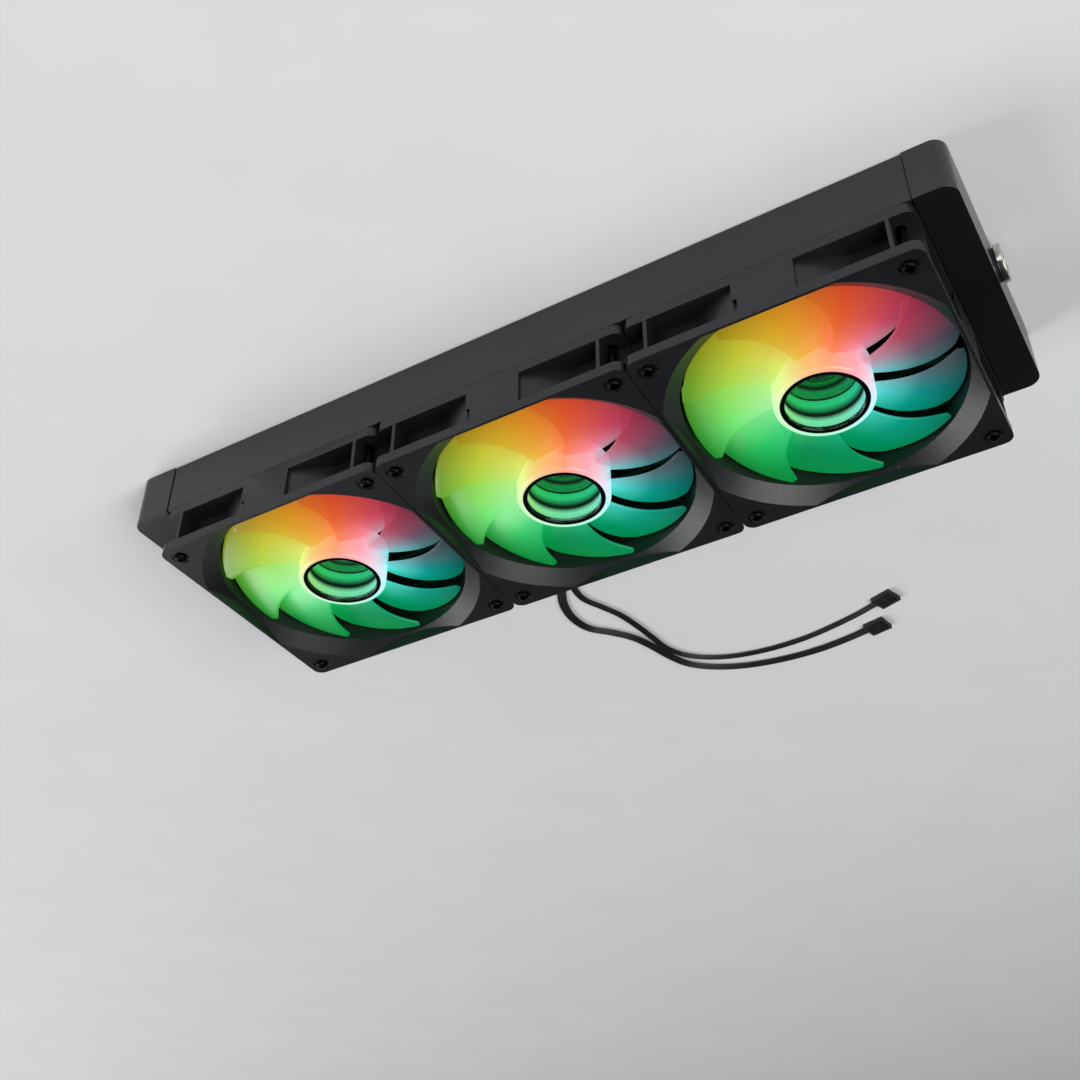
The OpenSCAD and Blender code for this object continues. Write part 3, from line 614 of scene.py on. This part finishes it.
def lead_connector(name, route, width, poles):
    """A crimp housing at the lead's end: sockets in its face, a window over each contact, two guide
    ribs and the wires' own mouths. It is built along +X and then laid in line with the lead."""
    end = Vector(route[-1]) * MM
    ahead = (end - Vector(route[-2]) * MM).normalized()
    pitch = 2.54 * MM
    half = width * MM / 2
    length, tall = 12 * MM, 2.7 * MM
    shell = block(name, (0, -half, 0), (length, half, tall))
    for k in range(poles):
        y = (k - (poles - 1) / 2) * pitch
        cut(shell, block("socket", (length - 6 * MM, y - 0.5 * MM, 0.9 * MM),
                         (length + MM, y + 0.5 * MM, 1.9 * MM)))
        cut(shell, block("contact_window", (3.2 * MM, y - 0.55 * MM, 2.1 * MM),
                         (5.6 * MM, y + 0.55 * MM, 4 * MM)))
        cut(shell, block("wire_mouth", (-MM, y - 0.75 * MM, 0.5 * MM), (1.2 * MM, y + 0.75 * MM, 2 * MM)))
    ribs = [block("guide_rib", (6.2 * MM, s * 2.6 * MM - 0.4 * MM, tall - 0.1 * MM),
                  (length - 0.3 * MM, s * 2.6 * MM + 0.4 * MM, 3.2 * MM)) for s in (-1, 1)]
    latch = block("latch_step", (1.0 * MM, -1.6 * MM, tall - 0.1 * MM), (2.4 * MM, 1.6 * MM, 3.0 * MM))
    body = join(name, [shell, *ribs, latch])
    round_edges(body, 0.15 * MM, 2, 40)
    contacts = []
    for k in range(poles):
        y = (k - (poles - 1) / 2) * pitch
        contacts.append(block("contact", (3.3 * MM, y - 0.45 * MM, 1.0 * MM),
                              (5.5 * MM, y + 0.45 * MM, 1.9 * MM)))
    metal = join(f"{name}_contacts", contacts)
    round_edges(metal, 0.1 * MM, 1, 40)
    turn = math.atan2(ahead.y, ahead.x)
    for part in (body, metal):
        part.rotation_euler.z = turn
        part.location = (end.x, end.y, 0)
        settle(part)
    paint(body, CONNECTOR_NYLON)
    paint(metal, CONTACT_TIN)
    return body, metal


def make_lead(name, node_name, route, width, wires):
    body, metal = lead_connector(f"{name}_connector", route, 10.4, wires)
    lead = flat_lead(name, route, width, wires)
    paint(lead, PVC)
    for piece, slot in ((body, "connector_black"), (metal, "connector_black"), (lead, "cable_black")):
        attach(piece, "radiator")
    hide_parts(f"{node_name}_connector")
    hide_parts(f"{node_name}_cable")


make_lead("fan_lead", "pwm", FAN_LEAD, 5.0, 4)
make_lead("light_lead", "led", LIGHT_LEAD, 3.8, 3)


# ---- Stage ----

def make_light(name, place, aim, size, power):
    data = bpy.data.lights.new(name, "AREA")
    data.shape = "RECTANGLE"
    data.size = size[0]
    data.size_y = size[1]
    data.energy = power
    lamp = bpy.data.objects.new(name, data)
    bpy.context.scene.collection.objects.link(lamp)
    lamp.location = place
    lamp.rotation_euler = (Vector(aim) - Vector(place)).to_track_quat("-Z", "Y").to_euler()


def make_stage():
    """A pale floor and horizon under two wide softboxes and a low one that picks out the near edges."""
    bpy.ops.mesh.primitive_circle_add(vertices=96, radius=1.9, fill_type="NGON")
    floor = added("studio_floor")
    material, tree, place = start_material("pale_studio_floor")
    mottle = node(tree, "TexNoise", {"Vector": place, "Scale": 1 / (60 * MM), "Detail": 3.0})
    base = node(tree, "Mix", {0: mottle, 6: hex_colour("#dcdddf"), 7: hex_colour("#e4e5e6")}, out=2,
                data_type="RGBA")
    surface(tree, {"Base Color": base, "Roughness": 0.7})
    paint(floor, material)
    make_light("top_softbox", (-1.4, -0.7, 1.4), (0, 0.1, 0), (1.5, 1.5), 38.0)
    make_light("front_softbox", (0.15, -1.5, 0.4), (0, 0, 0.03), (1.4, 0.5), 6.0)
    make_light("side_softbox", (1.7, 0.2, 1.3), (0, 0.1, 0.03), (1.3, 1.3), 24.0)
    world = bpy.data.worlds.new("studio")
    world.use_nodes = True
    tree = world.node_tree
    direction = node(tree, "TexCoord", out="Generated")
    height = node(tree, "SeparateXYZ", {"Vector": direction}, out="Z")
    glow = node(tree, "MapRange", {"Value": height, "From Min": 0.12, "From Max": 0.38, "To Min": 0.6,
                                   "To Max": 0.035}, interpolation_type="SMOOTHSTEP")
    background = tree.nodes["Background"]
    background.inputs["Color"].default_value = hex_colour("#dcdfe2")
    tree.links.new(glow, background.inputs["Strength"])
    bpy.context.scene.world = world
    bpy.context.scene.view_settings.view_transform = "Standard"


make_stage()


# ---- Places in the assembly ----


def stands_for(piece, node_name, body="radiator"):
    """The piece rides on a body and takes a CAD node's place; the node is hidden."""
    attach(piece, body)
    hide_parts(node_name)


# ---- Radiator ----

def make_fin_rows():
    """Folded fin strips: one fold is modelled, repeated along X, thickened and repeated across Y."""
    lowest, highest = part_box("fin_rows")
    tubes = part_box("coolant_tubes")
    rows = 13
    fold = 1.5 * MM
    gap = tubes[0].y - lowest.y
    spacing = (highest.y - lowest.y - gap) / (rows - 1)
    count = int((highest.x - lowest.x) / fold)
    fold = (highest.x - lowest.x) / count
    leaf = 0.1 * MM
    bpy.ops.mesh.primitive_grid_add(x_subdivisions=2, y_subdivisions=1, size=1)
    strip = added("folded_fin_strips")
    for vertex in strip.data.vertices:
        across = vertex.co.x + 0.5
        crest = gap - leaf if abs(across - 0.5) < 0.1 else leaf
        depth = (vertex.co.y + 0.5) * (highest.z - lowest.z)
        vertex.co = (lowest.x + across * fold, lowest.y + crest, lowest.z + depth)
    modify(strip, "ARRAY", count=count, use_relative_offset=False, use_constant_offset=True,
           constant_offset_displace=(fold, 0, 0), use_merge_vertices=True, merge_threshold=0.01 * MM)
    modify(strip, "SOLIDIFY", thickness=leaf, offset=0.0)
    modify(strip, "ARRAY", count=rows, use_relative_offset=False, use_constant_offset=True,
           constant_offset_displace=(0, spacing, 0))
    smooth(strip, 20)
    paint(strip, FIN_PAINT)
    stands_for(strip, "fin_rows")


def make_port_collars():
    """Turned collars with a chamfered mouth and a pipe thread inside, 1.34 mm from crest to crest."""
    lowest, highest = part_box("port_collars")
    tank_end = high("port_tank").x
    outer = (highest.z - lowest.z) / 2
    foot = outer - 2 * MM
    bore = 5.72 * MM
    pitch = 1.337 * MM
    back, face = lowest.x - tank_end, highest.x - tank_end
    profile = [(bore, back), (foot, back), (foot, 0), (outer - 0.3 * MM, 0), (outer, 0.3 * MM)]
    profile += [(outer, face - 0.8 * MM), (outer - 0.8 * MM, face), (bore + 1.3 * MM, face)]
    height = face - 0.9 * MM
    while height > back + pitch:
        profile += [(bore + 0.1 * MM, height), (bore + 0.85 * MM, height - pitch / 2)]
        height -= pitch
    profile.append((bore, height))
    collar = smooth(lathe("collar", profile, 72), 25)
    collar.rotation_euler.y = math.pi / 2
    settle(collar)
    ends = (lowest.y + outer, highest.y - outer)
    centre_z = (lowest.z + highest.z) / 2
    pair = [copy_of(collar, "collar_copy", (tank_end, y, centre_z)) for y in ends]
    discard(collar)
    piece = join("threaded_port_collars", pair)
    paint(piece, PORT_BRASS)
    stands_for(piece, "port_collars")


def make_fan_screws():
    """Pan-head screws with a tapered cross recess and a rolled thread at the tip."""
    head_r, head_h, shank = 2.9 * MM, 2.2 * MM, 1.5 * MM
    seat = high("fan_screws").z - head_h
    tip = low("fan_screws").z
    profile = [(0, tip), (shank - 0.5 * MM, tip), (shank - 0.25 * MM, tip + 0.5 * MM)]
    height = tip + 0.5 * MM
    for _ in range(12):
        profile += [(shank, height + 0.25 * MM), (shank - 0.25 * MM, height + 0.5 * MM)]
        height += 0.5 * MM
    profile += [(shank, height + 0.3 * MM), (shank, seat), (head_r - 0.2 * MM, seat),
                (head_r, seat + 0.2 * MM)]
    profile += [(x * MM, seat + y * MM) for x, y in arc(1.5, 0.8, 1.4, 0, 90, 8)] + [(0, seat + head_h)]
    screw = lathe("screw", profile, 40)
    for turn in (0, math.pi / 2):
        wing = block("cross_wing", (-1.75 * MM, -0.48 * MM, seat + 0.8 * MM),
                     (1.75 * MM, 0.48 * MM, seat + 4 * MM))
        for vertex in wing.data.vertices:
            if vertex.co.z < seat + MM:
                vertex.co.x *= 0.45
                vertex.co.y *= 0.7
        wing.rotation_euler.z = turn
        cut(screw, settle(wing))
    smooth(screw, 30)
    places = [(FAN_X[n] + sx * SCREW_HALF, sy * SCREW_HALF) for n in FANS for sx in (-1, 1) for sy in (-1, 1)]
    copies = [copy_of(screw, "screw_copy", (x, y, 0), 0.7 * i) for i, (x, y) in enumerate(places)]
    discard(screw)
    piece = join("cross_head_screws", copies)
    paint(piece, BLACK_OXIDE)
    stands_for(piece, "fan_screws")


def press_panel(piece, side):
    """Sinks a long stiffening panel into a channel's outer side."""
    pick(piece)
    for face in piece.data.polygons:
        face.select = face.normal.y * side > 0.9 and face.area > 0.25 * 0.02
    bpy.ops.object.mode_set(mode="EDIT")
    bpy.ops.mesh.select_mode(type="FACE")
    bpy.ops.mesh.inset(thickness=8.5 * MM)
    bpy.ops.mesh.inset(thickness=0.9 * MM, depth=-0.5 * MM)
    object_mode()


def make_radiator():
    for node_name, name, width, material in (
            ("port_tank", "port_tank_shell", 0.9 * MM, ENAMEL),
            ("return_tank", "return_tank_shell", 0.9 * MM, ENAMEL),
            ("side_channel_front", "front_channel_sheet", 0.4 * MM, ENAMEL),
            ("side_channel_back", "back_channel_sheet", 0.4 * MM, ENAMEL),
            ("fill_plug", "hex_socket_plug", 0.35 * MM, PLUG_NICKEL)):
        side = {"side_channel_front": -1, "side_channel_back": 1}.get(node_name)
        piece = softened(node_name, name, width, 3, press=side)
        paint(piece, material)
        stands_for(piece, node_name)
    make_fin_rows()
    make_port_collars()
    make_fan_screws()
    for node_name, material in (("coolant_tubes", TUBE_PAINT), ("header_plates", TUBE_PAINT),
                                ("weld_nuts", ZINC), ("tank_baffle", PORT_BRASS),
                                ("fill_plug_seal", SEAL_RUBBER), ("led_chips", LED)):
        paint(NODES[node_name], material)


make_radiator()


# ---- Fan rotors: each shape is made once about Z and copied to the three fans ----

BLADE_COUNT = 9
BLADE_ARC = 48
BLADE_SWEEP = 20
BLADE_CAMBER = 0.16
BLADE_T = 1.2 * MM
TIP_ROUNDING = 0.14


def make_blade():
    """A grid curved into a swept, cambered blade, then thickened and rounded."""
    bpy.ops.mesh.primitive_grid_add(x_subdivisions=20, y_subdivisions=14, size=1)
    blade = added("blade")
    root = HUB_R - 0.4 * MM
    for vertex in blade.data.vertices:
        span = vertex.co.y + 0.5
        corner = 1 - math.sqrt(1 - max(0, (span - 1 + TIP_ROUNDING) / TIP_ROUNDING) ** 2)
        chord = 0.5 + vertex.co.x * (1 - 0.2 * corner)
        radius = root + (BLADE_R - root) * span
        turn = math.radians(BLADE_SWEEP * span * span - BLADE_ARC * (1 - chord))
        bottom = FAN_BACK + (7.6 + span) * MM
        top = FAN_BACK + (16.5 + 2.5 * span) * MM
        rise = chord + BLADE_CAMBER * math.sin(math.pi * chord) * (1 - 0.4 * span)
        vertex.co = (radius * math.cos(turn), radius * math.sin(turn), bottom + (top - bottom) * rise)
    modify(blade, "SOLIDIFY", thickness=BLADE_T, offset=0.0, use_even_offset=True)
    tidy_shell(blade)
    return round_edges(blade, 0.4 * MM, 3, 60)


def make_hub():
    """The hub's wall, its round front edge, the web behind the mirrors and the skirt round the yoke."""
    inner = TUNNEL_R
    round_r = 1.6 * MM
    boss = 3.6 * MM
    profile = [(boss, YOKE_TOP), (inner, YOKE_TOP), (inner, HUB_LOW), (HUB_R - 0.4 * MM, HUB_LOW)]
    profile += [(HUB_R, HUB_LOW + 0.4 * MM)] + arc(HUB_R - round_r, HUB_TOP - round_r, round_r, 0, 90, 8)
    profile += [(BEZEL_R, HUB_TOP), (BEZEL_R, WINDOW_LOW), (inner, WINDOW_LOW), (inner, MIRROR_LOW),
                (boss, MIRROR_LOW)]
    hub = lathe("hub", profile, 128)
    skirt = lathe("skirt", [(YOKE_R, HUB_LOW + MM), (YOKE_R + MM, HUB_LOW + MM), (YOKE_R + MM, YOKE_TOP),
                            (YOKE_R, YOKE_TOP)], 96)
    return smooth(join("hub", [hub, skirt]), 30)


def make_bezel():
    """The black ring round the window, with rolled edges."""
    inner = BEZEL_R - 2.1 * MM
    base = low("fan_2_bezel").z
    edge = 0.35 * MM
    profile = [(inner, base), (BEZEL_R, base)]
    profile += arc(BEZEL_R - edge, HUB_TOP - edge, edge, 0, 90, 5)
    profile += arc(inner + edge, HUB_TOP - edge, edge, 90, 180, 5)
    ring = smooth(lathe("bezel", profile, 128), 40)
    paint(ring, GLOSS_BLACK)
    return ring


def make_window():
    """The mirror lens: a polished front and a half-silvered back."""
    window = disc("window", WINDOW_R, WINDOW_LOW, high("fan_2_mirror_lens").z, 0.12 * MM)
    paint(window, WINDOW_FACE, HALF_MIRROR)
    for face in window.data.polygons:
        if face.normal.z < -0.9:
            face.material_index = 1
    return window


def make_tunnel():
    inner = TUNNEL_R - 2.5 * MM
    return smooth(lathe("tunnel", [(inner, TUNNEL_LOW), (TUNNEL_R, TUNNEL_LOW), (TUNNEL_R, WINDOW_LOW),
                                   (inner, WINDOW_LOW)], 128), 30)


def make_back_mirror():
    mirror = disc("back_mirror", TUNNEL_R, MIRROR_LOW, TUNNEL_LOW, 0.1 * MM)
    paint(mirror, BACK_MIRROR)
    return mirror


def make_rotors():
    blade = make_blade()
    hub = make_hub()
    bezel = make_bezel()
    window = make_window()
    tunnel = make_tunnel()
    mirror = make_back_mirror()
    turned = [copy_of(blade, "blade_copy", turn=math.tau * i / BLADE_COUNT) for i in range(BLADE_COUNT)]
    blades = smooth(join("blades", turned), 40)
    for n in FANS:
        body = f"rotor_{n}"
        place = (FAN_X[n], 0, 0)
        wheel_blades = copy_of(blades, f"fan_{n}_blades", place)
        paint(wheel_blades, lit_blade_acrylic(f"lit_blade_acrylic_{n}", FAN_X[n]))
        stands_for(wheel_blades, f"fan_{n}_impeller", body)
        wheel_hub = copy_of(hub, f"fan_{n}_hub", place)
        paint(wheel_hub, lit_hub_acrylic(f"lit_hub_acrylic_{n}", FAN_X[n]))
        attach(wheel_hub, body)
        wall = copy_of(tunnel, f"fan_{n}_tunnel_wall", place)
        paint(wall, lit_tunnel_wall(f"frosted_tunnel_acrylic_{n}", FAN_X[n]))
        stands_for(wall, f"fan_{n}_light_ring", body)
        for shape, name, node_name in ((bezel, "black_ring", "bezel"), (window, "window", "mirror_lens"),
                                       (mirror, "mirror_disc", "back_mirror")):
            stands_for(copy_of(shape, f"fan_{n}_{name}", place), f"fan_{n}_{node_name}", body)
    discard(blade, hub, bezel, window, tunnel, mirror, blades)


make_rotors()


# ---- Fan frames and motors ----

def make_frames():
    for n in FANS:
        shell = softened(f"fan_{n}_frame", f"fan_{n}_moulded_frame", 0.3 * MM, 2)
        paint(shell, FRAME_NYLON)
        stands_for(shell, f"fan_{n}_frame")
        grommet = softened(f"fan_{n}_cable_grommet", f"fan_{n}_lead_grommet", 0.5 * MM, 3)
        paint(grommet, SEAL_RUBBER)
        stands_for(grommet, f"fan_{n}_cable_grommet")
        for part, material in (("rotor_yoke", YOKE_STEEL), ("magnet", FERRITE), ("shaft", SHAFT_STEEL),
                               ("bearing", BRONZE), ("stator", LAMINATIONS), ("coils", COPPER),
                               ("circuit_board", BOARD)):
            paint(NODES[f"fan_{n}_{part}"], material)


make_frames()
